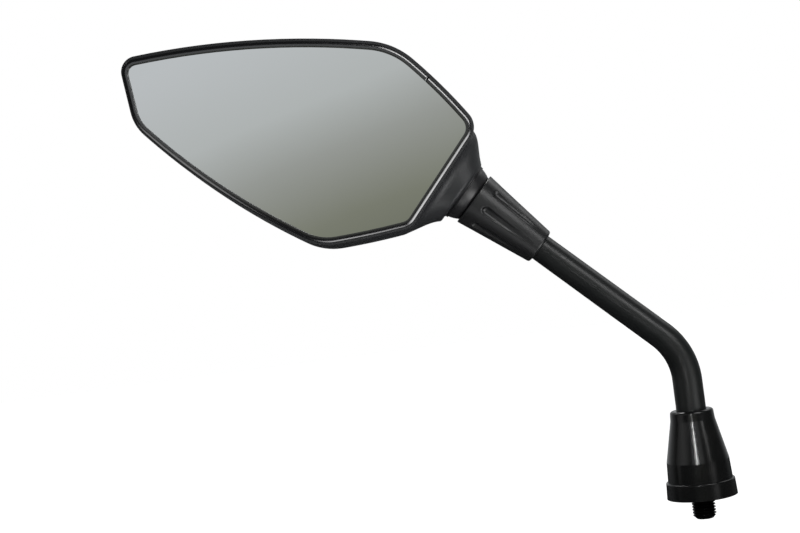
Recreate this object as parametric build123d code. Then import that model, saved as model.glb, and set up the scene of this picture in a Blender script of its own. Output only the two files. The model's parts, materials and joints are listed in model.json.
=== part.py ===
from build123d import *
import math
import os

# Motorcycle mirror: a ball-jointed mirror head on a bent stem with a threaded base.
# Millimetres, +Z up along the mounting stud, origin on the stud's axis at its seat face.
# The stem bends in the XZ plane towards -X, and the glass faces -Y.

# Cutters run past the faces they cut by this much
CUT_OVERLAP = 0.5

# Mounting stud and adapter
STUD_RADIUS = 5.0
STUD_LENGTH = 9.5
STUD_CHAMFER = 1.5
ADAPTER_ACROSS_FLATS = 17.0
ADAPTER_HEIGHT = 14.0
BASE_NUT_HEIGHT = 6.0
NUT_CHAMFER = 0.7
THREAD_CLEARANCE = 0.05
NUT_TO_SHOULDER = 0.5

# Stem
STEM_SCREW_RADIUS = 5.0
STEM_SCREW_ENGAGEMENT = 11.5
STEM_TAP_DEPTH_SPARE = 0.8
STEM_RADIUS_BASE = 6.3
STEM_RADIUS_BEND = 5.97
STEM_RADIUS_END = 5.82
STEM_CORNER_HEIGHT = 61.9
STEM_BEND_ANGLE = 46.5
STEM_BEND_RADIUS = 28.0
STEM_CORNER_TO_BALL = 117.3

# Rubber boot
BOOT_HEIGHT = 37.0
BOOT_TOP_RADIUS = 9.1
BOOT_TOP_BAND = 4.2
BOOT_TOP_DRAFT = 0.3
BOOT_SHOULDER_RADIUS = 13.2
BOOT_SHOULDER_HEIGHT = 15.4
BOOT_WAIST_RADIUS = 13.65
BOOT_FLANGE_RADIUS = 14.9
BOOT_FLANGE_HEIGHT = 7.0
BOOT_FLANGE_DRAFT = 0.4
BOOT_EDGE_RADIUS = 1.2
BOOT_FLANGE_ROUND = 0.5
BOOT_STEM_CLEARANCE = 0.15
BOOT_NUT_CLEARANCE = 0.45
BOOT_ROOF_SLOPE_HEIGHT = 4.0

# Ball joint, measured along the neck axis from the ball's centre
BALL_RADIUS = 8.0
BALL_CLEARANCE = 0.1
SHANK_RADIUS = 4.0
SHANK_ENGAGEMENT = 12.0
SHANK_TAP_DEPTH_SPARE = 1.5
BALL_NUT_ACROSS_FLATS = 13.0
BALL_NUT_HEIGHT = 5.0
BALL_NUT_START = 15.0
CUP_THICKNESS = 1.5
CUP_HALF_ANGLE = 60.0
CUP_GREASE_HOLE_RADIUS = 1.5
HEAD_TILT = 15.0
TILT_MARGIN = 2.5
DOME_RADIUS = 12.6
RIDGE_RADIUS = 12.85
RIDGE_WIDTH = 0.75
RIDGE_EDGE_ROUND = 0.3
SEAL_RADIUS = 13.0
SEAL_WIDTH = 0.5
NECK_FACE = 1.35
GLAND_RADIUS = 11.4
GLAND_CLEARANCE = 0.05
GLAND_BARREL_LENGTH = 8.0
BARREL_WALL = 1.6
PAD_THICKNESS = 2.4
PAD_HALF_ANGLE = 50.0
PAD_RADIUS_CLEARANCE = 0.1
DISC_COUNT = 4
DISC_OUTER_RADIUS = 9.0
DISC_INNER_RADIUS = 4.6
DISC_THICKNESS = 0.8
DISC_CONE = 0.5
SPRING_SEAT_THICKNESS = 1.0

# Fluted collar, measured along the neck axis from the ball's centre
COLLAR_MOUTH = 6.9
COLLAR_LENGTH = 34.85
COLLAR_MOUTH_RADIUS = 12.0
COLLAR_END_RADIUS = 7.75
COLLAR_MOUTH_CHAMFER = 0.35
COLLAR_END_FILLET = 1.1
COLLAR_DOME_CLEARANCE = 0.7
COLLAR_NUT_CLEARANCE = 0.35
COLLAR_STEM_CLEARANCE = 0.28
COLLAR_CONE_LENGTH = 2.0
FLUTE_COUNT = 8
FLUTE_RADIUS = 2.1
FLUTE_DEPTH = 1.5
FLUTE_START = 5.0
FLUTE_LENGTH = 25.9
FLUTE_PHASE = 9.0
GRIP_RING_SECTION = 0.7
GRIP_RING_FROM_END = 6.5
GRIP_RING_CLEARANCE = 0.18
GRIP_GROOVE_CLEARANCE = 0.05

# Glass outline: sharp corners (X, Z) from the ball's centre, side bulges and corner radii,
# clockwise from the top left as seen from the front
GLASS_TOP_LEFT = (-131.6, 67.7)
GLASS_TOP_RIGHT = (-22.1, 59.5)
GLASS_RIGHT = (6.1, 24.4)
GLASS_LOWER_RIGHT = (-24.3, -10.9)
GLASS_BOTTOM = (-60.9, -13.7)
GLASS_LEFT = (-128.9, 44.6)
BULGE_TOP = 4.3
BULGE_UPPER_RIGHT = 1.15
BULGE_BOTTOM = 0.5
BULGE_LOWER_LEFT = 3.6
CORNER_RADII = (3.4, 28.0, 5.1, 4.6, 19.5, 15.0)
GLASS_CENTRE = (-62.0, 30.0)
GLASS_CURVE_RADIUS = 1200.0
GLASS_THICKNESS = 2.0
GLASS_EDGE_COVER = 1.0

# Bead, rim and the stack behind the glass; depths count back from the bead's crown
RIM_FRONT_Y = -20.0
BEAD_WIDTH = 2.2
BEAD_LIP = 1.2
BEAD_ROUND = 0.95
BEAD_BACK_LIP = 1.2
BEAD_CLEARANCE = 0.05
BEAD_JOINT_SHARE = 0.42
BEAD_JOINT_GAP = 0.2
LIP_WIDTH = 1.0
LIP_LEFT_TRIM = 0.65
LIP_SETBACK = 0.8
GLASS_LIP_CLEARANCE = 0.05
PLATE_THICKNESS = 1.5
PLATE_INSET = 1.5
FOAM_INSET = 7.0

# Housing shell and neck
WALL = 2.4
HOUSING_PIVOT = (-33.0, -8.0)
HOUSING_BACK_Y = 15.0
HOUSING_DEPTH_SHARE = (0.0, 0.35, 0.68, 1.0)
HOUSING_FULLNESS = (1.0, 0.975, 0.90, 0.78)
HOUSING_DROP = (0.0, 1.5, 2.2, 2.4)
HOUSING_SOFTEN = (0.0, 1.0, 2.0, 3.0)
BACK_DOME_CENTRE = (-40.0, 18.0)
BACK_DOME_RADIUS = 260.0
BACK_EDGE_FILLET = 6.0
NECK_END_RADIUS = 14.65
NECK_END_OFFSET = -1.25
NECK_END_ROUND = 1.5
NECK_ROOT_LENGTH = 24.0
NECK_ROOT_HALF_WIDTH = 20.0
NECK_ROOT_HALF_DEPTH = 12.0
NECK_ROOT_OFFSET = -4.0
NECK_FLARE_LENGTH = 9.3
NECK_FLARE_HALF_WIDTH = 25.9
NECK_FLARE_OFFSET = -3.6
NECK_MID_LENGTH = 4.4
NECK_MID_HALF_WIDTH = 19.4
NECK_MID_OFFSET = -1.8
NECK_SEAM_FILLET = 4.0
BOSS_WALL = 1.5
BOSS_FLOOR = 1.8
POST_RADIUS = 3.2
POST_POSITIONS = ((-35.0, 44.0), (-112.0, 55.0), (-98.0, 24.0), (-52.0, 3.0))
SCREW_RADIUS = 1.25
SCREW_HEAD_RADIUS = 2.3
SCREW_HEAD_HEIGHT = 1.2
SCREW_LENGTH = 9.0

# Derived places
bend = math.radians(STEM_BEND_ANGLE)
toward_stem = Vector(math.sin(bend), 0, -math.cos(bend))
across_neck = Vector(math.cos(bend), 0, math.sin(bend))
stem_corner = Vector(0, 0, STEM_CORNER_HEIGHT)
ball_centre = stem_corner - toward_stem * STEM_CORNER_TO_BALL
neck = Plane(origin=ball_centre, x_dir=across_neck, z_dir=toward_stem).location
ball_seat_radius = BALL_RADIUS + BALL_CLEARANCE
cup_radius = ball_seat_radius + CUP_THICKNESS
pad_seat_radius = cup_radius + BALL_CLEARANCE
barrel_bore = GLAND_RADIUS - GLAND_CLEARANCE - BARREL_WALL
pad_back = -(pad_seat_radius + PAD_THICKNESS)
disc_step = DISC_THICKNESS + DISC_CONE
springs_back = pad_back - DISC_COUNT * disc_step
gland_floor = springs_back - SPRING_SEAT_THICKNESS
ball_nut_end = BALL_NUT_START + BALL_NUT_HEIGHT
collar_end = COLLAR_MOUTH + COLLAR_LENGTH
glass_corners = (GLASS_TOP_LEFT, GLASS_TOP_RIGHT, GLASS_RIGHT, GLASS_LOWER_RIGHT, GLASS_BOTTOM, GLASS_LEFT)


def disc(radius, start, end):
    """Solid cylinder about the local Z axis between two heights."""
    return Pos(0, 0, start) * Cylinder(radius, end - start, align=(Align.CENTER, Align.CENTER, Align.MIN))


def turned(*points):
    """Solid of revolution about the local Z axis from (radius, height) points."""
    profile = make_face(Plane.XZ * Polyline(*points, close=True))
    return revolve(profile, Axis.Z)


def hexagon(across_flats, start, height):
    """Hexagon prism with turned corners."""
    corner = across_flats / math.sqrt(3)
    prism = extrude(RegularPolygon(across_flats / 2, 6, major_radius=False), height)
    turning = Cylinder(corner, height, align=(Align.CENTER, Align.CENTER, Align.MIN))
    turning = chamfer(turning.edges().filter_by(GeomType.CIRCLE), NUT_CHAMFER)
    return Pos(0, 0, start) * (prism & turning)


def make_base_adapter():
    body = hexagon(ADAPTER_ACROSS_FLATS, 0, ADAPTER_HEIGHT)
    stud = disc(STUD_RADIUS, -STUD_LENGTH, 0)
    stud = chamfer(stud.edges().filter_by(GeomType.CIRCLE).sort_by(Axis.Z)[0], STUD_CHAMFER)
    tap_bottom = ADAPTER_HEIGHT - STEM_SCREW_ENGAGEMENT - STEM_TAP_DEPTH_SPARE
    tap = disc(STEM_SCREW_RADIUS + THREAD_CLEARANCE, tap_bottom, ADAPTER_HEIGHT + CUT_OVERLAP)
    return body + stud - tap


def make_base_lock_nut():
    nut = hexagon(ADAPTER_ACROSS_FLATS, ADAPTER_HEIGHT, BASE_NUT_HEIGHT)
    top = ADAPTER_HEIGHT + BASE_NUT_HEIGHT
    return nut - disc(STEM_SCREW_RADIUS + THREAD_CLEARANCE, ADAPTER_HEIGHT - CUT_OVERLAP, top + CUT_OVERLAP)


def make_stem():
    shoulder = ADAPTER_HEIGHT + BASE_NUT_HEIGHT + NUT_TO_SHOULDER
    tangent_length = STEM_BEND_RADIUS * math.tan(bend / 2)
    bend_start = stem_corner - Vector(0, 0, tangent_length)
    bend_end = stem_corner - toward_stem * tangent_length
    screw = disc(STEM_SCREW_RADIUS, ADAPTER_HEIGHT - STEM_SCREW_ENGAGEMENT, shoulder)
    lower = disc(STEM_RADIUS_BASE, shoulder, bend_start.Z)
    path = TangentArc(bend_start, bend_end, tangent=(0, 0, 1))
    sections = [
        Plane(bend_start, z_dir=(0, 0, 1)) * Circle(STEM_RADIUS_BASE),
        Plane(bend_end, x_dir=across_neck, z_dir=-toward_stem) * Circle(STEM_RADIUS_BEND),
    ]
    elbow = sweep(sections, path=path, multisection=True)
    bend_end_distance = STEM_CORNER_TO_BALL - tangent_length
    upper = turned(
        (0, ball_nut_end),
        (STEM_RADIUS_END, ball_nut_end),
        (STEM_RADIUS_BEND, bend_end_distance),
        (0, bend_end_distance),
    )
    tap_end = ball_nut_end + SHANK_ENGAGEMENT + SHANK_TAP_DEPTH_SPARE
    tap = disc(SHANK_RADIUS + THREAD_CLEARANCE, ball_nut_end - CUT_OVERLAP, tap_end)
    return screw + lower + elbow + neck * (upper - tap)


def make_base_boot():
    cavity_radius = ADAPTER_ACROSS_FLATS / math.sqrt(3) + BOOT_NUT_CLEARANCE
    cavity_top = ADAPTER_HEIGHT + BASE_NUT_HEIGHT + BOOT_NUT_CLEARANCE
    bore_radius = STEM_RADIUS_BASE + BOOT_STEM_CLEARANCE
    shell = turned(
        (0, 0),
        (BOOT_FLANGE_RADIUS, 0),
        (BOOT_FLANGE_RADIUS - BOOT_FLANGE_DRAFT, BOOT_FLANGE_HEIGHT),
        (BOOT_WAIST_RADIUS, BOOT_FLANGE_HEIGHT),
        (BOOT_SHOULDER_RADIUS, BOOT_SHOULDER_HEIGHT),
        (BOOT_TOP_RADIUS + BOOT_TOP_DRAFT, BOOT_HEIGHT - BOOT_TOP_BAND),
        (BOOT_TOP_RADIUS, BOOT_HEIGHT),
        (0, BOOT_HEIGHT),
    )
    top_edge = shell.edges().filter_by(GeomType.CIRCLE).sort_by(Axis.Z)[-1]
    shell = fillet(top_edge, BOOT_EDGE_RADIUS)
    flange_edge = shell.edges().filter_by(GeomType.CIRCLE).sort_by(SortBy.RADIUS)[-2]
    shell = fillet(flange_edge, BOOT_FLANGE_ROUND)
    hollow = turned(
        (0, -CUT_OVERLAP),
        (cavity_radius, -CUT_OVERLAP),
        (cavity_radius, cavity_top),
        (bore_radius, cavity_top + BOOT_ROOF_SLOPE_HEIGHT),
        (bore_radius, BOOT_HEIGHT + CUT_OVERLAP),
        (0, BOOT_HEIGHT + CUT_OVERLAP),
    )
    return shell - hollow


def collar_radius(height):
    """Outside radius of the collar's cone at a height along the neck axis."""
    share = (height - COLLAR_MOUTH) / COLLAR_LENGTH
    return COLLAR_MOUTH_RADIUS + share * (COLLAR_END_RADIUS - COLLAR_MOUTH_RADIUS)


def grip_ring_centre_radius():
    return STEM_RADIUS_END + GRIP_RING_CLEARANCE + GRIP_RING_SECTION


def make_fluted_collar():
    sleeve = turned(
        (0, COLLAR_MOUTH),
        (COLLAR_MOUTH_RADIUS, COLLAR_MOUTH),
        (COLLAR_END_RADIUS, collar_end),
        (0, collar_end),
    )
    rims = sleeve.edges().filter_by(GeomType.CIRCLE).sort_by(SortBy.RADIUS)
    sleeve = fillet(rims[0], COLLAR_END_FILLET)
    mouth_rim = sleeve.edges().filter_by(GeomType.CIRCLE).sort_by(SortBy.RADIUS)[-1]
    sleeve = chamfer(mouth_rim, COLLAR_MOUTH_CHAMFER)
    nut_bore = BALL_NUT_ACROSS_FLATS / math.sqrt(3) + COLLAR_NUT_CLEARANCE
    nut_bore_end = ball_nut_end + COLLAR_NUT_CLEARANCE
    stem_bore = STEM_RADIUS_END + COLLAR_STEM_CLEARANCE
    hollow = turned(
        (0, 0),
        (nut_bore, 0),
        (nut_bore, nut_bore_end),
        (stem_bore, nut_bore_end + COLLAR_CONE_LENGTH),
        (stem_bore, collar_end + CUT_OVERLAP),
        (0, collar_end + CUT_OVERLAP),
    )
    ring_height = collar_end - GRIP_RING_FROM_END
    groove_half = GRIP_RING_SECTION + GRIP_GROOVE_CLEARANCE
    groove_radius = grip_ring_centre_radius() + groove_half
    groove = disc(groove_radius, ring_height - groove_half, ring_height + groove_half)
    sleeve = sleeve - Sphere(DOME_RADIUS + COLLAR_DOME_CLEARANCE) - hollow - groove
    flute_start = COLLAR_MOUTH + FLUTE_START
    flute_end = flute_start + FLUTE_LENGTH
    start = Vector(collar_radius(flute_start) + FLUTE_RADIUS - FLUTE_DEPTH, 0, flute_start + FLUTE_RADIUS)
    end = Vector(collar_radius(flute_end) + FLUTE_RADIUS, 0, flute_end)
    run = end - start
    cutter = Plane(start, x_dir=(0, 1, 0), z_dir=run) * disc(FLUTE_RADIUS, 0, run.length)
    cutter += Pos(start) * Sphere(FLUTE_RADIUS)
    for index in range(FLUTE_COUNT):
        sleeve -= Rot(0, 0, FLUTE_PHASE + index * 360 / FLUTE_COUNT) * cutter
    return neck * sleeve


def make_collar_grip_ring():
    ring = Torus(grip_ring_centre_radius(), GRIP_RING_SECTION)
    return neck * Pos(0, 0, collar_end - GRIP_RING_FROM_END) * ring


def make_ball_lock_nut():
    nut = hexagon(BALL_NUT_ACROSS_FLATS, BALL_NUT_START, BALL_NUT_HEIGHT)
    return neck * (nut - disc(SHANK_RADIUS + THREAD_CLEARANCE, 0, ball_nut_end + CUT_OVERLAP))


def make_ball_stud():
    shank = disc(SHANK_RADIUS, 0, ball_nut_end + SHANK_ENGAGEMENT)
    return neck * (Sphere(BALL_RADIUS) + shank)


def opening_point(radius):
    """Point of the dome's opening at a spherical radius, clear of the shank at full tilt about both axes."""
    full_tilt = math.acos(math.cos(math.radians(HEAD_TILT)) ** 2)
    angle = full_tilt + math.asin(SHANK_RADIUS / radius) + math.radians(TILT_MARGIN)
    return (radius * math.sin(angle), radius * math.cos(angle))


def make_socket_nut():
    flange_start = NECK_FACE + SEAL_WIDTH
    flange_end = flange_start + RIDGE_WIDTH
    barrel = disc(GLAND_RADIUS - GLAND_CLEARANCE, -GLAND_BARREL_LENGTH, flange_start)
    ridge = disc(RIDGE_RADIUS, flange_start, flange_end)
    ridge = fillet(ridge.edges().filter_by(GeomType.CIRCLE), RIDGE_EDGE_ROUND)
    dome = Sphere(DOME_RADIUS) & disc(2 * DOME_RADIUS, flange_start, 2 * DOME_RADIUS)
    inner = opening_point(ball_seat_radius)
    outer = opening_point(DOME_RADIUS)
    reach = 2 * DOME_RADIUS
    slope = (outer[0] - inner[0]) / (outer[1] - inner[1])
    mouth = turned(
        (0, 0),
        (inner[0] - slope * inner[1], 0),
        (inner[0] + slope * (reach - inner[1]), reach),
        (0, reach),
    )
    seat = Sphere(ball_seat_radius) & disc(2 * ball_seat_radius, 0, 2 * ball_seat_radius)
    bore = disc(barrel_bore, -GLAND_BARREL_LENGTH - CUT_OVERLAP, 0)
    return neck * (barrel + ridge + dome - seat - mouth - bore)


def make_neck_seal_ring():
    ring = disc(SEAL_RADIUS, NECK_FACE, NECK_FACE + SEAL_WIDTH)
    return neck * (ring - disc(GLAND_RADIUS, NECK_FACE - CUT_OVERLAP, NECK_FACE + SEAL_WIDTH + CUT_OVERLAP))


def make_ball_cup():
    shell = Sphere(cup_radius) - Sphere(ball_seat_radius)
    rim = cup_radius * math.cos(math.radians(CUP_HALF_ANGLE))
    shell = shell & disc(2 * cup_radius, -2 * cup_radius, -rim)
    return neck * (shell - disc(CUP_GREASE_HOLE_RADIUS, -2 * cup_radius, 0))


def make_thrust_pad():
    pad_front = -pad_seat_radius * math.cos(math.radians(PAD_HALF_ANGLE))
    pad = disc(barrel_bore - PAD_RADIUS_CLEARANCE, pad_back, pad_front)
    return neck * (pad - Sphere(pad_seat_radius))


def make_disc_springs():
    discs = []
    for index in range(DISC_COUNT):
        near = pad_back - index * disc_step
        inner_lift, outer_lift = (DISC_CONE, 0) if index % 2 else (0, DISC_CONE)
        discs.append(
            turned(
                (DISC_INNER_RADIUS, near - inner_lift),
                (DISC_OUTER_RADIUS, near - outer_lift),
                (DISC_OUTER_RADIUS, near - outer_lift - DISC_THICKNESS),
                (DISC_INNER_RADIUS, near - inner_lift - DISC_THICKNESS),
            )
        )
    return neck * Compound(children=discs)


def make_spring_seat():
    washer = disc(DISC_OUTER_RADIUS, gland_floor, springs_back)
    return neck * (washer - disc(DISC_INNER_RADIUS, gland_floor - CUT_OVERLAP, springs_back + CUT_OVERLAP))


def front(depth):
    """Y of a plane a given depth behind the bead's crown."""
    return RIM_FRONT_Y + depth


def redrawn(outline):
    """An offset outline with every side drawn afresh as a plain line or arc."""
    sides = []
    for side in outline.face().outer_wire().edges():
        if side.geom_type == GeomType.LINE:
            sides.append(Line(side @ 0, side @ 1))
        else:
            sides.append(ThreePointArc(side @ 0, side @ 0.5, side @ 1))
    return make_face(Curve() + sides)


def glass_outline(grow=0.0, fullness=1.0, drop=0.0, soften=0.0, left_trim=0.0):
    """Glass outline in (X, Z) from the ball's centre, shrunk about the housing's pivot and grown outwards."""
    bulges = (BULGE_TOP, BULGE_UPPER_RIGHT, 0, BULGE_BOTTOM, BULGE_LOWER_LEFT, 0)
    pivot = Vector(*HOUSING_PIVOT)
    places = [pivot + (Vector(*corner) - pivot) * fullness - Vector(0, drop) for corner in glass_corners]
    lower_left = (places[-2] - places[-1]).normalized()
    places[0] += Vector(left_trim, 0)
    places[-1] += lower_left * (left_trim / lower_left.X)
    sides = []
    for index, bulge in enumerate(bulges):
        start, end = places[index], places[(index + 1) % len(places)]
        if bulge:
            outward = (end - start).normalized().rotate(Axis.Z, 90)
            sides.append(ThreePointArc(start, (start + end) / 2 + outward * bulge * fullness, end))
        else:
            sides.append(Line(start, end))
    face = make_face(Curve() + sides)
    for place, radius in zip(places, CORNER_RADII):
        corner = face.vertices().sort_by_distance(place)[0]
        face = fillet(corner, radius * fullness + soften)
    return redrawn(offset(face, grow)) if grow else face


def upright(sketch, y):
    """Place an outline drawn from the ball's centre on the plane at Y = y."""
    return Plane(origin=(ball_centre.X, y, ball_centre.Z), x_dir=(1, 0, 0), z_dir=(0, -1, 0)) * sketch


def slab(sketch, front_y, back_y):
    """Extrude an outline between two planes facing -Y."""
    return extrude(upright(sketch, back_y), back_y - front_y, dir=(0, -1, 0))


def along_depth(place, radius, front_y, back_y):
    """Cylinder along Y at a place in (X, Z) from the ball's centre."""
    return slab(Pos(*place) * Circle(radius), front_y, back_y)


def glass_sag(distance):
    """How far the glass's front curve falls back at a distance from its crown."""
    return GLASS_CURVE_RADIUS - math.sqrt(GLASS_CURVE_RADIUS**2 - distance**2)


# The glass touches the bead's lip where its edge is nearest to its crown, and lies deepest at its far corner.
nearest_edge = glass_outline().face().outer_wire().distance_to(Vertex(*GLASS_CENTRE, 0))
farthest_edge = GLASS_EDGE_COVER + max(math.dist(corner, GLASS_CENTRE) for corner in glass_corners)
glass_crown_depth = BEAD_LIP + GLASS_LIP_CLEARANCE - glass_sag(nearest_edge)
groove_end = glass_crown_depth + glass_sag(farthest_edge) + GLASS_THICKNESS
bead_depth = groove_end + BEAD_BACK_LIP
plate_back = groove_end + PLATE_THICKNESS
bead_crown = -(BEAD_LIP + GLASS_LIP_CLEARANCE)


def glass_sphere(behind):
    """Ball bounded by the glass's front curve moved back by a distance."""
    x, z = GLASS_CENTRE
    centre_y = front(glass_crown_depth) + GLASS_CURVE_RADIUS
    return Pos(ball_centre.X + x, centre_y, ball_centre.Z + z) * Sphere(GLASS_CURVE_RADIUS - behind)


def make_mirror_glass():
    blank = slab(glass_outline(GLASS_EDGE_COVER), front(0), front(bead_depth))
    return blank & glass_sphere(0) - glass_sphere(GLASS_THICKNESS)


def bead_joint():
    """Thin cutter across the bead where its two ends meet, on the upper right side."""
    start, end = Vector(*GLASS_TOP_RIGHT), Vector(*GLASS_RIGHT)
    place = start + (end - start) * BEAD_JOINT_SHARE
    angle = math.degrees(math.atan2(end.Y - start.Y, end.X - start.X))
    cut = Pos(place.X, place.Y) * Rot(0, 0, angle) * Rectangle(BEAD_JOINT_GAP, 4 * BEAD_WIDTH)
    return slab(cut, front(-CUT_OVERLAP), front(bead_depth + CUT_OVERLAP))


def make_glass_gasket():
    ring = slab(glass_outline(BEAD_WIDTH), front(-CUT_OVERLAP), front(bead_depth))
    ring -= slab(glass_outline(), front(-2 * CUT_OVERLAP), front(bead_depth + CUT_OVERLAP))
    ring = ring & glass_sphere(bead_crown)
    ring = fillet(ring.faces().filter_by(GeomType.SPHERE).edges(), BEAD_ROUND)
    groove = slab(glass_outline(GLASS_EDGE_COVER + BEAD_CLEARANCE), front(0), front(groove_end))
    return ring - (groove & glass_sphere(-GLASS_LIP_CLEARANCE)) - bead_joint()


def make_adhesive_pad():
    block = slab(glass_outline(-FOAM_INSET), front(0), front(groove_end))
    return block & glass_sphere(GLASS_THICKNESS)


def screw_at(place):
    """Countersunk screw, head flush with the plate's front."""
    head_front = front(groove_end)
    shank = along_depth(place, SCREW_RADIUS, head_front, head_front + SCREW_LENGTH)
    rests_on_base = (Align.CENTER, Align.CENTER, Align.MIN)
    cone = Cone(SCREW_HEAD_RADIUS, SCREW_RADIUS, SCREW_HEAD_HEIGHT, align=rests_on_base)
    x, z = place
    seat = Plane(origin=(ball_centre.X + x, head_front, ball_centre.Z + z), z_dir=(0, 1, 0))
    return shank + seat * cone


def make_plate_screws():
    return Compound(children=[screw_at(place) for place in POST_POSITIONS])


def make_backing_plate():
    plate = slab(glass_outline(-PLATE_INSET), front(groove_end), front(plate_back))
    for place in POST_POSITIONS:
        plate -= screw_at(place)
    return plate


def housing_section(y, fullness, drop, soften, inset):
    """Outline of the housing at a depth, inset by a wall."""
    reach = (BEAD_WIDTH + BEAD_CLEARANCE + LIP_WIDTH) * fullness - inset
    return upright(glass_outline(reach, fullness, drop, soften, LIP_LEFT_TRIM), y)


def housing_form(mouth_y, first, inset):
    """Housing's side walls from a mouth plane to the domed back, inset by a wall."""
    ledge = front(bead_depth)
    depth = HOUSING_BACK_Y - ledge
    rows = zip(HOUSING_DEPTH_SHARE, HOUSING_FULLNESS, HOUSING_DROP, HOUSING_SOFTEN)
    sections = [housing_section(ledge + row[0] * depth, *row[1:], inset) for row in rows]
    sides = loft([housing_section(mouth_y, 1, 0, 0, inset)] + sections[first:])
    x, z = BACK_DOME_CENTRE
    centre = (ball_centre.X + x, HOUSING_BACK_Y - BACK_DOME_RADIUS, ball_centre.Z + z)
    return sides & Pos(*centre) * Sphere(BACK_DOME_RADIUS - inset)


def neck_section(length, half_width, half_depth, shift):
    plane = Plane(neck * Pos(shift, 0, NECK_FACE - length))
    return plane * Ellipse(half_width, half_depth)


def make_housing():
    body = housing_form(front(0), 0, 0)
    body = fillet(body.faces().filter_by(GeomType.SPHERE).edges(), BACK_EDGE_FILLET)
    flare = loft(
        [
            neck_section(0, NECK_END_RADIUS, NECK_END_RADIUS, NECK_END_OFFSET),
            neck_section(NECK_MID_LENGTH, NECK_MID_HALF_WIDTH, NECK_END_RADIUS, NECK_MID_OFFSET),
            neck_section(NECK_FLARE_LENGTH, NECK_FLARE_HALF_WIDTH, NECK_END_RADIUS, NECK_FLARE_OFFSET),
            neck_section(NECK_ROOT_LENGTH, NECK_ROOT_HALF_WIDTH, NECK_ROOT_HALF_DEPTH, NECK_ROOT_OFFSET),
        ]
    )
    end_face = flare.faces().sort_by_distance(neck.position + toward_stem * NECK_FACE)[0]
    flare = fillet(end_face.edges(), NECK_END_ROUND)
    outside = body + flare
    outside = fillet(new_edges(body, flare, combined=outside), NECK_SEAM_FILLET)
    cavity = housing_form(front(bead_depth) - CUT_OVERLAP, 1, WALL)
    boss = neck * disc(GLAND_RADIUS + BOSS_WALL, gland_floor - BOSS_FLOOR, NECK_FACE - NECK_MID_LENGTH)
    cavity -= boss
    post_front = front(plate_back)
    for place in POST_POSITIONS:
        cavity -= along_depth(place, POST_RADIUS, post_front, HOUSING_BACK_Y)
    recess = slab(glass_outline(BEAD_WIDTH + BEAD_CLEARANCE), front(-CUT_OVERLAP), front(bead_depth))
    shell = (outside & glass_sphere(bead_crown + LIP_SETBACK)) - cavity - recess
    shell -= neck * disc(GLAND_RADIUS, gland_floor, NECK_FACE + CUT_OVERLAP)
    for place in POST_POSITIONS:
        shell -= along_depth(place, SCREW_RADIUS, post_front - CUT_OVERLAP, front(groove_end) + SCREW_LENGTH)
    return shell


NODES = {
    "base_adapter": make_base_adapter,
    "base_lock_nut": make_base_lock_nut,
    "base_boot": make_base_boot,
    "stem": make_stem,
    "fluted_collar": make_fluted_collar,
    "collar_grip_ring": make_collar_grip_ring,
    "ball_lock_nut": make_ball_lock_nut,
    "ball_stud": make_ball_stud,
    "socket_nut": make_socket_nut,
    "neck_seal_ring": make_neck_seal_ring,
    "ball_cup": make_ball_cup,
    "thrust_pad": make_thrust_pad,
    "disc_springs": make_disc_springs,
    "spring_seat": make_spring_seat,
    "mirror_glass": make_mirror_glass,
    "glass_gasket": make_glass_gasket,
    "adhesive_pad": make_adhesive_pad,
    "backing_plate": make_backing_plate,
    "plate_screws": make_plate_screws,
    "housing": make_housing,
}

os.makedirs("parts", exist_ok=True)
for name, make in NODES.items():
    export_step(make(), f"parts/{name}.step")
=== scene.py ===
import json
import math

import bmesh
import bpy
from mathutils import Matrix, Vector


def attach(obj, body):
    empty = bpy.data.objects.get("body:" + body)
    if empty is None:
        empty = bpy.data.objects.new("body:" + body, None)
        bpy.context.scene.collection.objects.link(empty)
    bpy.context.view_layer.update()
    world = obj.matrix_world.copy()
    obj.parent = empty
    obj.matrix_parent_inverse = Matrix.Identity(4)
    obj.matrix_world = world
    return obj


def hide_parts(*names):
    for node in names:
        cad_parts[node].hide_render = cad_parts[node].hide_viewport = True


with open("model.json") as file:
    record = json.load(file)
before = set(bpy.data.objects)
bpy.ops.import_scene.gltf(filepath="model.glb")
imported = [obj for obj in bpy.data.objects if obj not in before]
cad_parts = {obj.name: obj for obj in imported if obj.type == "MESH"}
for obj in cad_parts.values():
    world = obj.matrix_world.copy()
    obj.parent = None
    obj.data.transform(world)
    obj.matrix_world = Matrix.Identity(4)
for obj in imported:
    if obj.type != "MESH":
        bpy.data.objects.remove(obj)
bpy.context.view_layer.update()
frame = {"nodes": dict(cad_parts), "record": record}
nodes = frame["nodes"]
scene = bpy.context.scene
scene.view_settings.view_transform = "Standard"

MM = 0.001

# Camera: level, rolled a little, looking along +Y
IMAGE_WIDTH = 800
FOCAL_PIXELS = 1493.0
SENSOR_WIDTH = 36.0
CLIP_START = 0.01
CLIP_END = 50.0
CAMERA_PLACE = Vector((-114.91, -635.32, 113.446)) * MM
CAMERA_ROLL = math.radians(7.5)

camera = bpy.data.objects.new("camera", bpy.data.cameras.new("camera"))
camera.data.sensor_fit = "HORIZONTAL"
camera.data.sensor_width = SENSOR_WIDTH
camera.data.lens = FOCAL_PIXELS / IMAGE_WIDTH * SENSOR_WIDTH
camera.data.clip_start = CLIP_START
camera.data.clip_end = CLIP_END
image_right = Vector((math.cos(CAMERA_ROLL), 0, -math.sin(CAMERA_ROLL)))
image_up = Vector((math.sin(CAMERA_ROLL), 0, math.cos(CAMERA_ROLL)))
turn = Matrix((image_right, image_up, Vector((0, -1, 0)))).transposed()
camera.matrix_world = Matrix.Translation(CAMERA_PLACE) @ turn.to_4x4()
scene.collection.objects.link(camera)
scene.camera = camera

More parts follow.
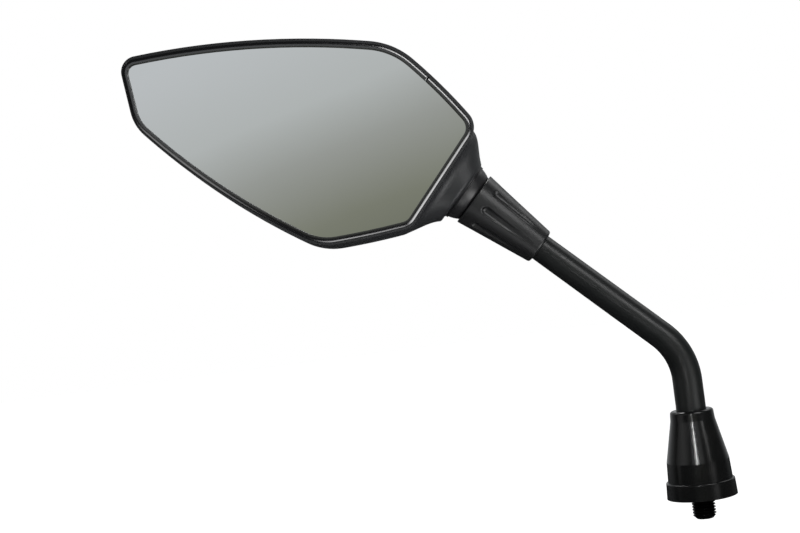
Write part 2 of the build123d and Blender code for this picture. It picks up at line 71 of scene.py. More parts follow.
# Materials: noises as scale per metre and detail, depths and radii in metres
NOISE_RANGE = (0.3, 0.7)
MOTTLE_NOISE = (120.0, 5.0)
GLOSS_NOISE = (260.0, 6.0)
GRAIN_DETAIL = 3.0
WEAR_NOISE = (900.0, 4.0)
WEAR_LEAST = 0.35
WEAR_RADIUS = 0.0005
WEAR_ALIGNMENT = (0.80, 0.98)
WEAR_LIGHTENING = 3.0
PLATING_NOISE = (400.0, 4.0)
PLATING_SHADE = 0.72
MARK_NOISE = (1500.0, 2.0)
MARK_DEPTH = 0.000015
MARK_SMOOTHER = 0.08
MARK_ROUGHER = 0.1
BEAD_IOR = 1.6
MIRROR_COLOUR = (0.80, 0.815, 0.81)
MIRROR_ROUGHNESS = 0.012
MIRROR_ROUGHNESS_RANGE = (0.008, 0.022)
MIRROR_HAZE_NOISE = (60.0, 6.0)
MIRROR_WAVE_NOISE = (18.0, 2.0)
MIRROR_WAVE_DEPTH = 0.000004

# Slot: dark and light colour, roughness range, grain scale and depth, edge wear, specular level
MOTTLED_SLOTS = {
    "housing_black": ((0.014, 0.015, 0.016), (0.019, 0.020, 0.022), (0.46, 0.54), 3000.0, 0.000008, 0.12, 0.5),
    "bead_black": ((0.004, 0.004, 0.005), (0.006, 0.006, 0.007), (0.18, 0.22), 700.0, 0.000001, 0.0, 1.0),
    "stem_black": ((0.006, 0.007, 0.007), (0.010, 0.011, 0.011), (0.34, 0.40), 3000.0, 0.000005, 0.15, 0.40),
    "collar_black": ((0.008, 0.0085, 0.009), (0.012, 0.0125, 0.013), (0.34, 0.40), 2000.0, 0.000001, 0.10, 0.5),
    "socket_black": ((0.010, 0.010, 0.011), (0.015, 0.015, 0.016), (0.34, 0.40), 2000.0, 0.000002, 0.2, 0.5),
    "boot_rubber": ((0.004, 0.0045, 0.0045), (0.007, 0.007, 0.007), (0.15, 0.20), 2600.0, 0.000004, 0.1, 0.5),
    "seal_rubber": ((0.005, 0.005, 0.006), (0.009, 0.009, 0.010), (0.40, 0.55), 1600.0, 0.00002, 0.2, 0.5),
    "inner_plastic": ((0.035, 0.035, 0.037), (0.050, 0.050, 0.052), (0.45, 0.60), 1800.0, 0.00003, 0.3, 0.5),
    "foam": ((0.050, 0.050, 0.052), (0.090, 0.090, 0.092), (0.85, 0.95), 900.0, 0.00020, 0.1, 0.5),
    "nylon": ((0.62, 0.60, 0.55), (0.70, 0.68, 0.62), (0.35, 0.45), 1500.0, 0.00001, 0.0, 0.5),
}
# Slot: colour, roughness and stretch of the tool marks
STEEL_SLOTS = {
    "zinc_steel": ((0.016, 0.016, 0.017), 0.42, (1, 1, 8)),
    "ball_steel": ((0.42, 0.42, 0.43), 0.26, (1, 1, 6)),
}


def new_material(name, colour, roughness, metallic=0.0, specular=0.5):
    """Principled material with its constant values on the shader's own sockets."""
    material = bpy.data.materials.new(name)
    material.use_nodes = True
    shader = shader_of(material)
    shader.inputs["Base Color"].default_value = (*colour, 1)
    shader.inputs["Roughness"].default_value = roughness
    shader.inputs["Metallic"].default_value = metallic
    shader.inputs["Specular IOR Level"].default_value = specular
    return material


def shader_of(material):
    return material.node_tree.nodes["Principled BSDF"]


def link(material, value, socket):
    material.node_tree.links.new(value, shader_of(material).inputs[socket])


def noise(material, scale, detail, stretch=(1, 1, 1)):
    """Noise in the object's own coordinates, with its scale per metre."""
    tree = material.node_tree
    place = tree.nodes.new("ShaderNodeTexCoord")
    mapping = tree.nodes.new("ShaderNodeMapping")
    mapping.inputs["Scale"].default_value = stretch
    texture = tree.nodes.new("ShaderNodeTexNoise")
    texture.inputs["Scale"].default_value = scale
    texture.inputs["Detail"].default_value = detail
    tree.links.new(place.outputs["Object"], mapping.inputs["Vector"])
    tree.links.new(mapping.outputs["Vector"], texture.inputs["Vector"])
    return texture.outputs["Fac"]


def spread(material, value, low, high, between=NOISE_RANGE):
    """Map a value from one range to another."""
    tree = material.node_tree
    node = tree.nodes.new("ShaderNodeMapRange")
    node.inputs["From Min"].default_value = between[0]
    node.inputs["From Max"].default_value = between[1]
    node.inputs["To Min"].default_value = low
    node.inputs["To Max"].default_value = high
    tree.links.new(value, node.inputs["Value"])
    return node.outputs["Result"]


def mixed(material, share, first, second):
    """Mix two colours, each a tuple or a socket."""
    tree = material.node_tree
    node = tree.nodes.new("ShaderNodeMix")
    node.data_type = "RGBA"
    tree.links.new(share, node.inputs["Factor"])
    for name, colour in (("A", first), ("B", second)):
        socket = [item for item in node.inputs if item.name == name and item.type == "RGBA"][0]
        if isinstance(colour, tuple):
            socket.default_value = (*colour, 1)
        else:
            tree.links.new(colour, socket)
    return [item for item in node.outputs if item.type == "RGBA"][0]


def worn_edges(material, strength):
    """Mask of the convex and concave edges, broken up by noise."""
    tree = material.node_tree
    bevel = tree.nodes.new("ShaderNodeBevel")
    bevel.inputs["Radius"].default_value = WEAR_RADIUS
    geometry = tree.nodes.new("ShaderNodeNewGeometry")
    dot = tree.nodes.new("ShaderNodeVectorMath")
    dot.operation = "DOT_PRODUCT"
    tree.links.new(bevel.outputs["Normal"], dot.inputs[0])
    tree.links.new(geometry.outputs["Normal"], dot.inputs[1])
    mask = spread(material, dot.outputs["Value"], strength, 0.0, WEAR_ALIGNMENT)
    scale = tree.nodes.new("ShaderNodeMath")
    scale.operation = "MULTIPLY"
    tree.links.new(mask, scale.inputs[0])
    tree.links.new(spread(material, noise(material, *WEAR_NOISE), WEAR_LEAST, 1.0), scale.inputs[1])
    return scale.outputs["Value"]


def bump(material, height, depth):
    """Bump of a height texture, its depth in metres."""
    tree = material.node_tree
    node = tree.nodes.new("ShaderNodeBump")
    node.inputs["Strength"].default_value = 1.0
    node.inputs["Distance"].default_value = depth
    tree.links.new(height, node.inputs["Height"])
    link(material, node.outputs["Normal"], "Normal")


def mottled_finish(name, dark, light, rough, grain_scale, grain_depth, wear, specular):
    """Moulded, coated or rubber surface: mottled colour, uneven gloss, fine grain and rubbed edges."""
    material = new_material(name, dark, rough[0], specular=specular)
    mottle = spread(material, noise(material, *MOTTLE_NOISE), 0.0, 1.0)
    colour = mixed(material, mottle, dark, light)
    if wear:
        worn = tuple(WEAR_LIGHTENING * channel for channel in light)
        colour = mixed(material, worn_edges(material, wear), colour, worn)
    link(material, colour, "Base Color")
    link(material, spread(material, noise(material, *GLOSS_NOISE), *rough), "Roughness")
    bump(material, noise(material, grain_scale, GRAIN_DETAIL), grain_depth)
    return material


def steel_finish(name, colour, roughness, stretch):
    """Turned or plated steel with fine tool marks."""
    material = new_material(name, colour, roughness, metallic=1.0)
    shade = tuple(PLATING_SHADE * channel for channel in colour)
    plating = spread(material, noise(material, *PLATING_NOISE), 0.0, 1.0)
    link(material, mixed(material, plating, shade, colour), "Base Color")
    marks = noise(material, *MARK_NOISE, stretch)
    rough = spread(material, marks, roughness - MARK_SMOOTHER, roughness + MARK_ROUGHER)
    link(material, rough, "Roughness")
    bump(material, marks, MARK_DEPTH)
    return material


def mirror_finish(name):
    """Silvered glass, with a trace of haze and waviness."""
    material = new_material(name, MIRROR_COLOUR, MIRROR_ROUGHNESS, metallic=1.0)
    haze = noise(material, *MIRROR_HAZE_NOISE)
    link(material, spread(material, haze, *MIRROR_ROUGHNESS_RANGE), "Roughness")
    bump(material, noise(material, *MIRROR_WAVE_NOISE), MIRROR_WAVE_DEPTH)
    return material


slot_materials = {name: mottled_finish(name, *values) for name, values in MOTTLED_SLOTS.items()}
slot_materials.update({name: steel_finish(name, *values) for name, values in STEEL_SLOTS.items()})
slot_materials["mirror"] = mirror_finish("mirror")
shader_of(slot_materials["bead_black"]).inputs["IOR"].default_value = BEAD_IOR

NORMAL_WEIGHT = 50

for subpart in frame["record"]["subparts"]:
    node_mesh = nodes[subpart["node"]].data
    node_mesh.materials.clear()
    node_mesh.materials.append(slot_materials[subpart["material_slot"]])
    shading = nodes[subpart["node"]].modifiers.new("shading", "WEIGHTED_NORMAL")
    shading.mode = "FACE_AREA_WITH_ANGLE"
    shading.weight = NORMAL_WEIGHT
    shading.keep_sharp = True


def add_piece(name, mesh, body, slot):
    """A new piece that rides on a body and takes a slot's material."""
    piece = bpy.data.objects.new(name, mesh)
    scene.collection.objects.link(piece)
    mesh.materials.append(slot_materials[slot])
    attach(piece, body)
    return piece


# Mounting stud with its M10 x 1.25 thread, on a copy of the adapter's hexagon
STUD_RADIUS = 5.0
STUD_LENGTH = 9.5
STUD_CHAMFER = 1.5
THREAD_PITCH = 1.25
THREAD_DEPTH = 0.77
THREAD_ROOT_SHARE = 0.20
THREAD_FLANK_SHARE = 0.67
THREAD_RUNOUT = 0.6
THREAD_START = 0.05
THREAD_TURN_STEPS = 96
THREAD_PITCH_STEPS = 20
SEAT_TOLERANCE = 0.01


def thread_radius(height, share):
    """Radius of the thread, in mm, at a height above the seat face and a share of a turn."""
    phase = (height / THREAD_PITCH + share) % 1.0
    away = abs(phase - 0.5) * 2
    rise = min(max((away - THREAD_ROOT_SHARE) / THREAD_FLANK_SHARE, 0.0), 1.0)
    radius = STUD_RADIUS - THREAD_DEPTH + THREAD_DEPTH * rise
    tip = height + STUD_LENGTH
    limit = STUD_RADIUS - STUD_CHAMFER + tip if tip < STUD_CHAMFER else STUD_RADIUS
    runout = min(max(-height / THREAD_RUNOUT, 0.0), 1.0)
    return min(STUD_RADIUS - (STUD_RADIUS - radius) * runout, limit)


def thread_ring(shape, height):
    """Vertices of one turn of the thread's surface at a height in mm."""
    ring = []
    for step in range(THREAD_TURN_STEPS):
        share = step / THREAD_TURN_STEPS
        radius = thread_radius(height, share)
        angle = 2 * math.pi * share
        place = Vector((radius * math.cos(angle), radius * math.sin(angle), height))
        ring.append(shape.verts.new(place * MM))
    return ring


def on_seam(edge):
    """True for the open edges of the seat face's hole and of the thread's first ring."""
    inside = all(end.co.xy.length < (STUD_RADIUS + THREAD_START) * MM for end in edge.verts)
    on_seat = all(abs(end.co.z) < 1.5 * THREAD_START * MM for end in edge.verts)
    return edge.is_boundary and inside and on_seat


def make_stud():
    mesh = bpy.data.meshes.new("threaded_adapter")
    shape = bmesh.new()
    shape.from_mesh(nodes["base_adapter"].data)
    below = [vertex for vertex in shape.verts if vertex.co.z < -SEAT_TOLERANCE * MM]
    bmesh.ops.delete(shape, geom=below, context="VERTS")
    rows = int(STUD_LENGTH / THREAD_PITCH * THREAD_PITCH_STEPS)
    rise = (STUD_LENGTH - THREAD_START) / rows
    rings = [thread_ring(shape, -THREAD_START - rise * row) for row in range(rows + 1)]
    for upper, lower in zip(rings, rings[1:]):
        for step in range(THREAD_TURN_STEPS):
            after = (step + 1) % THREAD_TURN_STEPS
            face = shape.faces.new((upper[step], lower[step], lower[after], upper[after]))
            face.smooth = True
    shape.faces.new(list(reversed(rings[-1])))
    seam = [edge for edge in shape.edges if on_seam(edge)]
    for face in bmesh.ops.bridge_loops(shape, edges=seam)["faces"]:
        face.smooth = True
        if face.calc_center_median().xy.dot(face.normal.xy) < 0:
            face.normal_flip()
    shape.to_mesh(mesh)
    shape.free()
    piece = add_piece("threaded_adapter", mesh, "base", "zinc_steel")
    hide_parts("base_adapter")


make_stud()


# Rounded bead round the glass, swept along the glass's own edge, open at its butt joint
GLASS_CURVE_RADIUS = 1200.0
GLASS_CROWN = (-147.086, 172.644)
GLASS_FRONT_NORMAL_Y = -0.9
GLASS_EDGE_COVER = 1.0
EDGE_SMOOTHING_ROUNDS = 25
EDGE_SMOOTHING_SHARES = (0.60, -0.62)
BEAD_WIDTH = 2.2
BEAD_HEIGHT = 1.25
# Section from the glass outwards: start and end tilt in degrees, radius in mm and steps of each arc
BEAD_ARCS = ((-90, -4, 0.12, 4), (-4, 4, 5.9, 6), (4, 12, 0.7, 3), (12, 28, 3.25, 10), (28, 90, 0.28, 6))
BEAD_ARCH_STEPS = sum(steps for first, last, radius, steps in BEAD_ARCS)
BEAD_SKIRT = 3.0
BEAD_FRONT_CLEARANCE = 0.03
BEAD_EDGE_CLEARANCE = 0.1
BEAD_JOINT = (-95.35, 187.40)
BEAD_JOINT_GAP = 0.2
BEAD_STEP = 0.6


def glass_front_edge():
    """Closed loop of (x, y, z) points, in mm, round the glass's front face, in order."""
    mesh = nodes["mirror_glass"].data
    keys = {}
    for polygon in mesh.polygons:
        if polygon.normal.y < GLASS_FRONT_NORMAL_Y:
            for key in polygon.edge_keys:
                keys[key] = keys.get(key, 0) + 1
    after = {}
    for first, second in (key for key, count in keys.items() if count == 1):
        after.setdefault(first, []).append(second)
        after.setdefault(second, []).append(first)
    start = min(after)
    loop, last = [start], None
    while True:
        onward = [vertex for vertex in after[loop[-1]] if vertex != last]
        if onward[0] == start and len(loop) > 2:
            break
        last = loop[-1]
        loop.append(onward[0])
    return [mesh.vertices[index].co / MM for index in loop]


def resampled(points, step):
    """Points at even steps round a closed loop."""
    lengths = [(points[(i + 1) % len(points)] - points[i]).length for i in range(len(points))]
    count = int(sum(lengths) / step)
    even = sum(lengths) / count
    result, index, used = [], 0, 0.0
    for number in range(count):
        target = number * even
        while used + lengths[index] < target:
            used += lengths[index]
            index += 1
        share = (target - used) / lengths[index]
        result.append(points[index].lerp(points[(index + 1) % len(points)], share))
    return result


def smoothed(points):
    """Closed loop without its small facets, kept at its size."""
    count = len(points)
    for share in EDGE_SMOOTHING_SHARES * EDGE_SMOOTHING_ROUNDS:
        points = [
            points[i] + share * ((points[i - 1] + points[(i + 1) % count]) / 2 - points[i]) for i in range(count)
        ]
    return points


def bead_profile():
    """(outward, forward) points of the bead's section from the glass's edge line and front face, in order."""
    width = sum(r * (math.sin(math.radians(b)) - math.sin(math.radians(a))) for a, b, r, steps in BEAD_ARCS)
    scale = BEAD_WIDTH / width
    arch = [(0.0, 0.0)]
    for first, last, radius, steps in BEAD_ARCS:
        for step in range(steps):
            here, onward = (math.radians(first + (last - first) * (step + more) / steps) for more in (0, 1))
            out, forward = arch[-1]
            out += scale * radius * (math.sin(onward) - math.sin(here))
            forward += scale * radius * (math.cos(onward) - math.cos(here))
            arch.append((out, forward))
    drop = BEAD_HEIGHT - max(forward for out, forward in arch)
    inner = GLASS_EDGE_COVER + BEAD_EDGE_CLEARANCE
    points = [(inner, BEAD_FRONT_CLEARANCE), (0.0, BEAD_FRONT_CLEARANCE)]
    points += [(out, forward + drop) for out, forward in arch]
    points += [(BEAD_WIDTH, -BEAD_SKIRT), (inner, -BEAD_SKIRT)]
    return points


def glass_depth(point):
    """Distance along Y from the glass's centre of curvature to its front face at a point."""
    away = math.dist((point.x, point.z), GLASS_CROWN)
    return math.sqrt(GLASS_CURVE_RADIUS**2 - away**2)


def make_bead():
    edge = smoothed(resampled(glass_front_edge(), BEAD_STEP))
    count = len(edge)
    centre = sum(point.y + glass_depth(point) for point in edge) / count
    joint = min(range(count), key=lambda i: math.dist((edge[i].x, edge[i].z), BEAD_JOINT))
    edge = edge[joint:] + edge[:joint]
    middle = sum(edge, Vector()) / count
    mesh = bpy.data.meshes.new("glass_bead")
    shape = bmesh.new()
    rings = []
    for index in range(count + 1):
        before, here, after = edge[(index - 1) % count], edge[index % count], edge[(index + 1) % count]
        along = (after - before).normalized()
        if index in (0, count):
            here = here + along * (BEAD_JOINT_GAP / 2 if index == 0 else -BEAD_JOINT_GAP / 2)
        outward = Vector((along.z, 0, -along.x)).normalized()
        if outward.dot(here - middle) < 0:
            outward = -outward
        ring = []
        for out, forward in bead_profile():
            place = here + outward * (out - GLASS_EDGE_COVER)
            place.y = centre - glass_depth(place) - forward
            ring.append(shape.verts.new(place * MM))
        rings.append(ring)
    size = len(rings[0])
    for first, second in zip(rings, rings[1:]):
        for index in range(size):
            onward = (index + 1) % size
            face = shape.faces.new((first[index], second[index], second[onward], first[onward]))
            face.smooth = 1 <= index <= BEAD_ARCH_STEPS + 1
    shape.faces.new(rings[0])
    shape.faces.new(list(reversed(rings[-1])))
    bmesh.ops.recalc_face_normals(shape, faces=shape.faces)
    shape.to_mesh(mesh)
    shape.free()
    piece = add_piece("glass_bead", mesh, "head", "bead_black")
    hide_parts("glass_gasket")


make_bead()


# Tapered collar with its eight flutes, about the neck axis from the ball's centre
BEND = math.radians(46.5)
BALL_CENTRE = Vector((-85.086, 0, 142.644))
NECK_ACROSS = Vector((math.cos(BEND), 0, math.sin(BEND)))
NECK_ALONG = Vector((math.sin(BEND), 0, -math.cos(BEND)))
NECK_SIDE = NECK_ALONG.cross(NECK_ACROSS)
COLLAR_MOUTH = 6.9
COLLAR_END = 41.75
COLLAR_MOUTH_RADIUS = 12.0
COLLAR_END_RADIUS = 7.75
COLLAR_MOUTH_ROUND = 0.4
COLLAR_END_ROUND = 1.1
COLLAR_RECESS_RADIUS = 13.3
COLLAR_NUT_BORE = 7.855
COLLAR_NUT_BORE_END = 20.35
COLLAR_BORE_CONE = 2.0
COLLAR_STEM_BORE = 6.1
COLLAR_GROOVE = (7.45, 34.5, 36.0)
COLLAR_SHARP_ANGLE = math.radians(45)
COLLAR_STEPS = 320
COLLAR_ROWS = 110
ROUND_STEPS = 6
FLUTE_COUNT = 8
FLUTE_PHASE = math.radians(9)
FLUTE_RADIUS = 2.1
FLUTE_START = (11.99, 14.0)
FLUTE_END = (10.33, 37.8)
FLUTE_EDGE_ROUND = 0.20


def collar_radius(height):
    share = (height - COLLAR_MOUTH) / (COLLAR_END - COLLAR_MOUTH)
    return COLLAR_MOUTH_RADIUS + share * (COLLAR_END_RADIUS - COLLAR_MOUTH_RADIUS)


def fluted_radius(radius, height, angle):
    """Radius of the collar's outside with the nearest flute's hollow cut in and its edges rounded."""
    pitch = 2 * math.pi / FLUTE_COUNT
    away = (angle - FLUTE_PHASE + pitch / 2) % pitch - pitch / 2
    (first, start), (last, end) = FLUTE_START, FLUTE_END
    if not start - FLUTE_RADIUS < height < end:
        return radius
    centre = first + (last - first) * max(height - start, 0.0) / (end - start)
    reach = math.sqrt(FLUTE_RADIUS**2 - max(start - height, 0.0) ** 2)
    if abs(centre * math.sin(away)) >= reach:
        return radius
    hollow = centre * math.cos(away) - math.sqrt(reach**2 - (centre * math.sin(away)) ** 2)
    share = min(max(0.5 + 0.5 * (hollow - radius) / FLUTE_EDGE_ROUND, 0.0), 1.0)
    return hollow + (radius - hollow) * share - FLUTE_EDGE_ROUND * share * (1 - share)


def arc(centre_radius, centre_height, size, first, last):
    """(radius, height) points of a rounded edge between two angles in degrees."""
    angles = [math.radians(first + (last - first) * step / ROUND_STEPS) for step in range(ROUND_STEPS + 1)]
    return [(centre_radius + size * math.cos(a), centre_height + size * math.sin(a)) for a in angles]


def collar_outline():
    """Closed (radius, height) outline of the collar's wall: mouth, outside, end and bore."""
    mouth, end = COLLAR_MOUTH_ROUND, COLLAR_END_ROUND
    low, high = COLLAR_MOUTH + mouth, COLLAR_END - end
    points = arc(collar_radius(low) - mouth, low, mouth, -90, 0)
    for row in range(1, COLLAR_ROWS):
        height = low + (high - low) * row / COLLAR_ROWS
        points.append((collar_radius(height), height))
    points += arc(collar_radius(high) - end, high, end, 0, 90)
    groove, groove_start, groove_end = COLLAR_GROOVE
    points += [(COLLAR_STEM_BORE, COLLAR_END), (COLLAR_STEM_BORE, groove_end), (groove, groove_end)]
    points += [(groove, groove_start), (COLLAR_STEM_BORE, groove_start)]
    points += [(COLLAR_STEM_BORE, COLLAR_NUT_BORE_END + COLLAR_BORE_CONE), (COLLAR_NUT_BORE, COLLAR_NUT_BORE_END)]
    inner = math.acos(COLLAR_NUT_BORE / COLLAR_RECESS_RADIUS)
    outer = math.asin(COLLAR_MOUTH / COLLAR_RECESS_RADIUS)
    points += arc(0, 0, COLLAR_RECESS_RADIUS, math.degrees(inner), math.degrees(outer))
    return points


def make_collar():
    mesh = bpy.data.meshes.new("fluted_sleeve")
    shape = bmesh.new()
    columns = []
    outline = collar_outline()
    for step in range(COLLAR_STEPS):
        angle = 2 * math.pi * step / COLLAR_STEPS
        outward = NECK_ACROSS * math.cos(angle) + NECK_SIDE * math.sin(angle)
        column = []
        for number, (radius, height) in enumerate(outline):
            if number < COLLAR_ROWS + ROUND_STEPS:
                radius = fluted_radius(radius, height, angle)
            column.append(shape.verts.new((BALL_CENTRE + outward * radius + NECK_ALONG * height) * MM))
        columns.append(column)
    size = len(outline)
    for step in range(COLLAR_STEPS):
        first, second = columns[step], columns[(step + 1) % COLLAR_STEPS]
        for index in range(size):
            onward = (index + 1) % size
            face = shape.faces.new((first[index], first[onward], second[onward], second[index]))
            face.smooth = True
    bmesh.ops.recalc_face_normals(shape, faces=shape.faces)
    shape.to_mesh(mesh)
    shape.free()
    mesh.set_sharp_from_angle(angle=COLLAR_SHARP_ANGLE)
    piece = add_piece("fluted_sleeve", mesh, "collar", "collar_black")
    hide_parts("fluted_collar")


make_collar()


# Stage, in metres: pale floor, white surroundings, a graded card in front that the glass mirrors, a screen that is
# dark in front and lighter behind, a dark sheet over the floor, and soft lamps
WORLD_FILL = 0.25
FLOOR_Z = -0.26
FLOOR_HALF = 6.0
FLOOR_COLOUR = (0.55, 0.55, 0.55)
FLOOR_ROUGHNESS = 0.9
FLOOR_GLOW = 0.92
CARD_LEFT = -1.0
CARD_RIGHT = 0.42
CARD_BOTTOM = -0.02
CARD_TOP = 0.85
CARD_Y = -1.7
CARD_FALL = (0.25, 0, -0.97)
CARD_FALL_RANGE = (-0.70, 0.0)
CARD_SHADES = (
    (0.02, (0.60, 0.62, 0.64)),
    (0.35, (0.53, 0.55, 0.55)),
    (0.55, (0.375, 0.385, 0.365)),
    (0.80, (0.235, 0.243, 0.195)),
    (0.98, (0.18, 0.187, 0.145)),
)
SCREEN_MIDDLE = Vector((-0.11, 0.0, 0.12))
SCREEN_RADIUS = 2.4
SCREEN_SIDES = (-180.0, 180.0)
SCREEN_RISES = (-35.0, 90.0)
SCREEN_COLUMNS = 40
SCREEN_ROWS = 20
SCREEN_COLOUR = (0.95, 0.98, 1.0)
SCREEN_GLOW_FRONT = 0.032
SCREEN_GLOW_BACK = 0.5
SCREEN_GLOW_RANGE = (0.2, 0.9)
SHEET_HALF = 3.0
SHEET_LIFT = 0.02
SHEET_COLOUR = (0.030, 0.031, 0.033)
SIDEWAYS = Vector((1.0, 0.0, 0.0))
# Name, place, target, width, height, watts, spread in degrees and the direction that the width runs in
LAMPS = (
    ("key", (0.40, -0.74, 0.605), (-0.06, 0.0, 0.12), 0.70, 0.20, 3.6, 180.0, NECK_ALONG),
    ("boot_strip", (-0.060, -0.245, 0.085), (0.0, 0.0, 0.02), 0.006, 0.06, 0.008, 50.0, SIDEWAYS),
    ("boot_left", (-0.145, -0.065, 0.062), (0.0, 0.0, 0.022), 0.20, 0.07, 0.0040, 80.0, SIDEWAYS),
    ("right_card", (0.035, -0.145, 0.045), (-0.09, 0.0, 0.15), 0.18, 0.18, 0.05, 50.0, SIDEWAYS),
    ("low_card", (-0.13, -0.12, -0.01), (-0.13, 0.0, 0.13), 0.14, 0.07, 0.006, 40.0, SIDEWAYS),
    ("left_card", (-0.33, -0.13, 0.09), (-0.20, 0.0, 0.17), 0.12, 0.12, 0.008, 60.0, SIDEWAYS),
    ("back_top", (-0.12, 0.60, 1.20), (-0.12, 0.0, 0.15), 0.60, 0.40, 12.0, 180.0, SIDEWAYS),
    ("back_left", (-0.85, 0.45, 0.95), (-0.12, 0.0, 0.12), 0.40, 0.60, 1.5, 180.0, SIDEWAYS),
    ("back_right", (0.75, 0.45, 0.90), (-0.05, 0.0, 0.10), 0.40, 0.60, 1.5, 180.0, SIDEWAYS),
)


def background_rays(tree):
    """1 for rays that see the background itself: camera, glossy and transmission rays."""
    path = tree.nodes.new("ShaderNodeLightPath")
    first = tree.nodes.new("ShaderNodeMath")
    first.operation = "MAXIMUM"
    second = tree.nodes.new("ShaderNodeMath")
    second.operation = "MAXIMUM"
    tree.links.new(path.outputs["Is Camera Ray"], first.inputs[0])
    tree.links.new(path.outputs["Is Glossy Ray"], first.inputs[1])
    tree.links.new(first.outputs["Value"], second.inputs[0])
    tree.links.new(path.outputs["Is Transmission Ray"], second.inputs[1])
    return second.outputs["Value"]


def make_world():
    """White surroundings that light the part less than they show."""
    world = bpy.data.worlds.new("studio")
    scene.world = world
    world.use_nodes = True
    tree = world.node_tree
    tree.nodes.clear()
    mix = tree.nodes.new("ShaderNodeMixShader")
    tree.links.new(background_rays(tree), mix.inputs["Fac"])
    for socket, strength in ((1, WORLD_FILL), (2, 1.0)):
        light = tree.nodes.new("ShaderNodeBackground")
        light.inputs["Color"].default_value = (1, 1, 1, 1)
        light.inputs["Strength"].default_value = strength
        tree.links.new(light.outputs["Background"], mix.inputs[socket])
    output = tree.nodes.new("ShaderNodeOutputWorld")
    tree.links.new(mix.outputs["Shader"], output.inputs["Surface"])


def stage_piece(name, corners, faces, material):
    mesh = bpy.data.meshes.new(name)
    mesh.from_pydata(corners, [], faces)
    mesh.materials.append(material)
    piece = bpy.data.objects.new(name, mesh)
    scene.collection.objects.link(piece)
    return piece


def reflections_only(piece):
    piece.visible_camera = False
    piece.visible_diffuse = False
    piece.visible_shadow = False


def glow_material(name, colour):
    """Emitting material, and its emission node."""
    material = bpy.data.materials.new(name)
    material.use_nodes = True
    tree = material.node_tree
    tree.nodes.clear()
    glow = tree.nodes.new("ShaderNodeEmission")
    glow.inputs["Color"].default_value = (*colour, 1)
    output = tree.nodes.new("ShaderNodeOutputMaterial")
    tree.links.new(glow.outputs["Emission"], output.inputs["Surface"])
    return material, glow


def place_along(tree, direction):
    """Distance of a point along a direction, in the object's own coordinates."""
    place = tree.nodes.new("ShaderNodeTexCoord")
    along = tree.nodes.new("ShaderNodeVectorMath")
    along.operation = "DOT_PRODUCT"
    along.inputs[1].default_value = direction
    tree.links.new(place.outputs["Object"], along.inputs[0])
    return along.outputs["Value"]


def flat_square(half, z):
    return [(-half, -half, z), (half, -half, z), (half, half, z), (-half, half, z)]


def make_floor():
    material = new_material("floor", FLOOR_COLOUR, FLOOR_ROUGHNESS)
    tree = material.node_tree
    glow = tree.nodes.new("ShaderNodeEmission")
    glow.inputs["Color"].default_value = (1, 1, 1, 1)
    strength = tree.nodes.new("ShaderNodeMath")
    strength.operation = "MULTIPLY"
    strength.inputs[1].default_value = FLOOR_GLOW
    tree.links.new(background_rays(tree), strength.inputs[0])
    tree.links.new(strength.outputs["Value"], glow.inputs["Strength"])
    add = tree.nodes.new("ShaderNodeAddShader")
    tree.links.new(shader_of(material).outputs["BSDF"], add.inputs[0])
    tree.links.new(glow.outputs["Emission"], add.inputs[1])
    tree.links.new(add.outputs["Shader"], tree.nodes["Material Output"].inputs["Surface"])
    stage_piece("floor", flat_square(FLOOR_HALF, FLOOR_Z), [(0, 1, 2, 3)], material)


def make_card():
    """Graded card behind the camera that the glass mirrors."""
    corners = [(CARD_LEFT, CARD_Y, CARD_BOTTOM), (CARD_RIGHT, CARD_Y, CARD_BOTTOM)]
    corners += [(CARD_RIGHT, CARD_Y, CARD_TOP), (CARD_LEFT, CARD_Y, CARD_TOP)]
    material, glow = glow_material("card", (1, 1, 1))
    tree = material.node_tree
    ramp = tree.nodes.new("ShaderNodeValToRGB")
    for share, colour in CARD_SHADES:
        ramp.color_ramp.elements.new(share).color = (*colour, 1)
    ramp.color_ramp.elements.remove(ramp.color_ramp.elements[0])
    ramp.color_ramp.elements.remove(ramp.color_ramp.elements[-1])
    fall = spread(material, place_along(tree, CARD_FALL), 0.0, 1.0, CARD_FALL_RANGE)
    tree.links.new(fall, ramp.inputs["Fac"])
    tree.links.new(ramp.outputs["Color"], glow.inputs["Color"])
    reflections_only(stage_piece("card", corners, [(0, 1, 2, 3)], material))


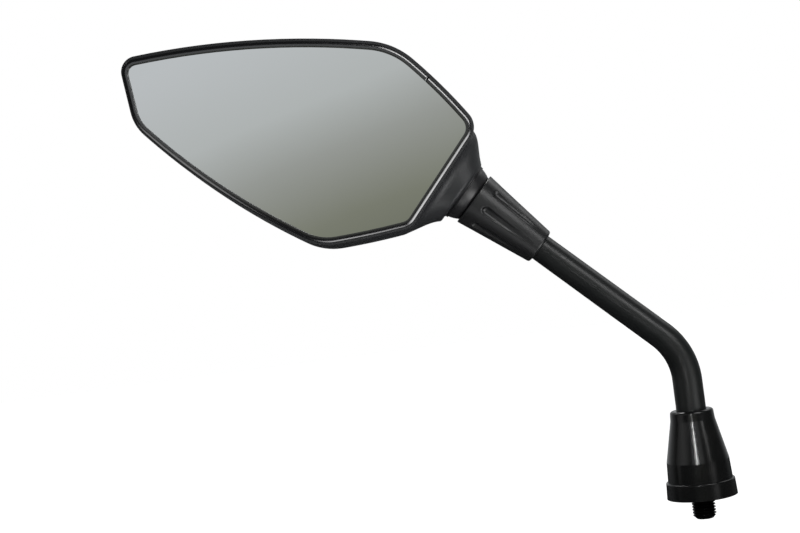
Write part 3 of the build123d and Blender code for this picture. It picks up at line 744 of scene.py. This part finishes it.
def make_screen():
    """Curved screen all round, in degrees of azimuth from -Y and of elevation, for reflections only."""
    (first_side, last_side), (first_rise, last_rise) = SCREEN_SIDES, SCREEN_RISES
    corners = []
    for row in range(SCREEN_ROWS + 1):
        rise = math.radians(first_rise + (last_rise - first_rise) * row / SCREEN_ROWS)
        for column in range(SCREEN_COLUMNS + 1):
            side = math.radians(first_side + (last_side - first_side) * column / SCREEN_COLUMNS)
            away = Vector((math.sin(side) * math.cos(rise), -math.cos(side) * math.cos(rise), math.sin(rise)))
            corners.append(SCREEN_MIDDLE + away * SCREEN_RADIUS)
    faces = []
    for row in range(SCREEN_ROWS):
        for column in range(SCREEN_COLUMNS):
            low = row * (SCREEN_COLUMNS + 1) + column
            high = low + SCREEN_COLUMNS + 1
            faces.append((low, low + 1, high + 1, high))
    material, glow = glow_material("screen", SCREEN_COLOUR)
    tree = material.node_tree
    behind = place_along(tree, (0.0, 1.0 / SCREEN_RADIUS, 0.0))
    strength = spread(material, behind, SCREEN_GLOW_FRONT, SCREEN_GLOW_BACK, SCREEN_GLOW_RANGE)
    tree.links.new(strength, glow.inputs["Strength"])
    reflections_only(stage_piece("screen", corners, faces, material))


def make_low_screen():
    """Dark sheet over the floor round the part, for its reflections only."""
    material = glow_material("low_screen", SHEET_COLOUR)[0]
    corners = flat_square(SHEET_HALF, FLOOR_Z + SHEET_LIFT)
    reflections_only(stage_piece("low_screen", corners, [(0, 1, 2, 3)], material))


def add_lamp(name, place, target, width, height, watts, spread_degrees, along):
    lamp = bpy.data.lights.new(name, "AREA")
    lamp.shape = "RECTANGLE"
    lamp.size = width
    lamp.size_y = height
    lamp.energy = watts
    lamp.spread = math.radians(spread_degrees)
    item = bpy.data.objects.new(name, lamp)
    item.location = place
    back = (Vector(place) - Vector(target)).normalized()
    up = back.cross(along).normalized()
    item.rotation_euler = Matrix((up.cross(back), up, back)).transposed().to_euler()
    item.visible_camera = False
    scene.collection.objects.link(item)


make_world()
make_floor()
make_card()
make_screen()
make_low_screen()
for lamp_values in LAMPS:
    add_lamp(*lamp_values)
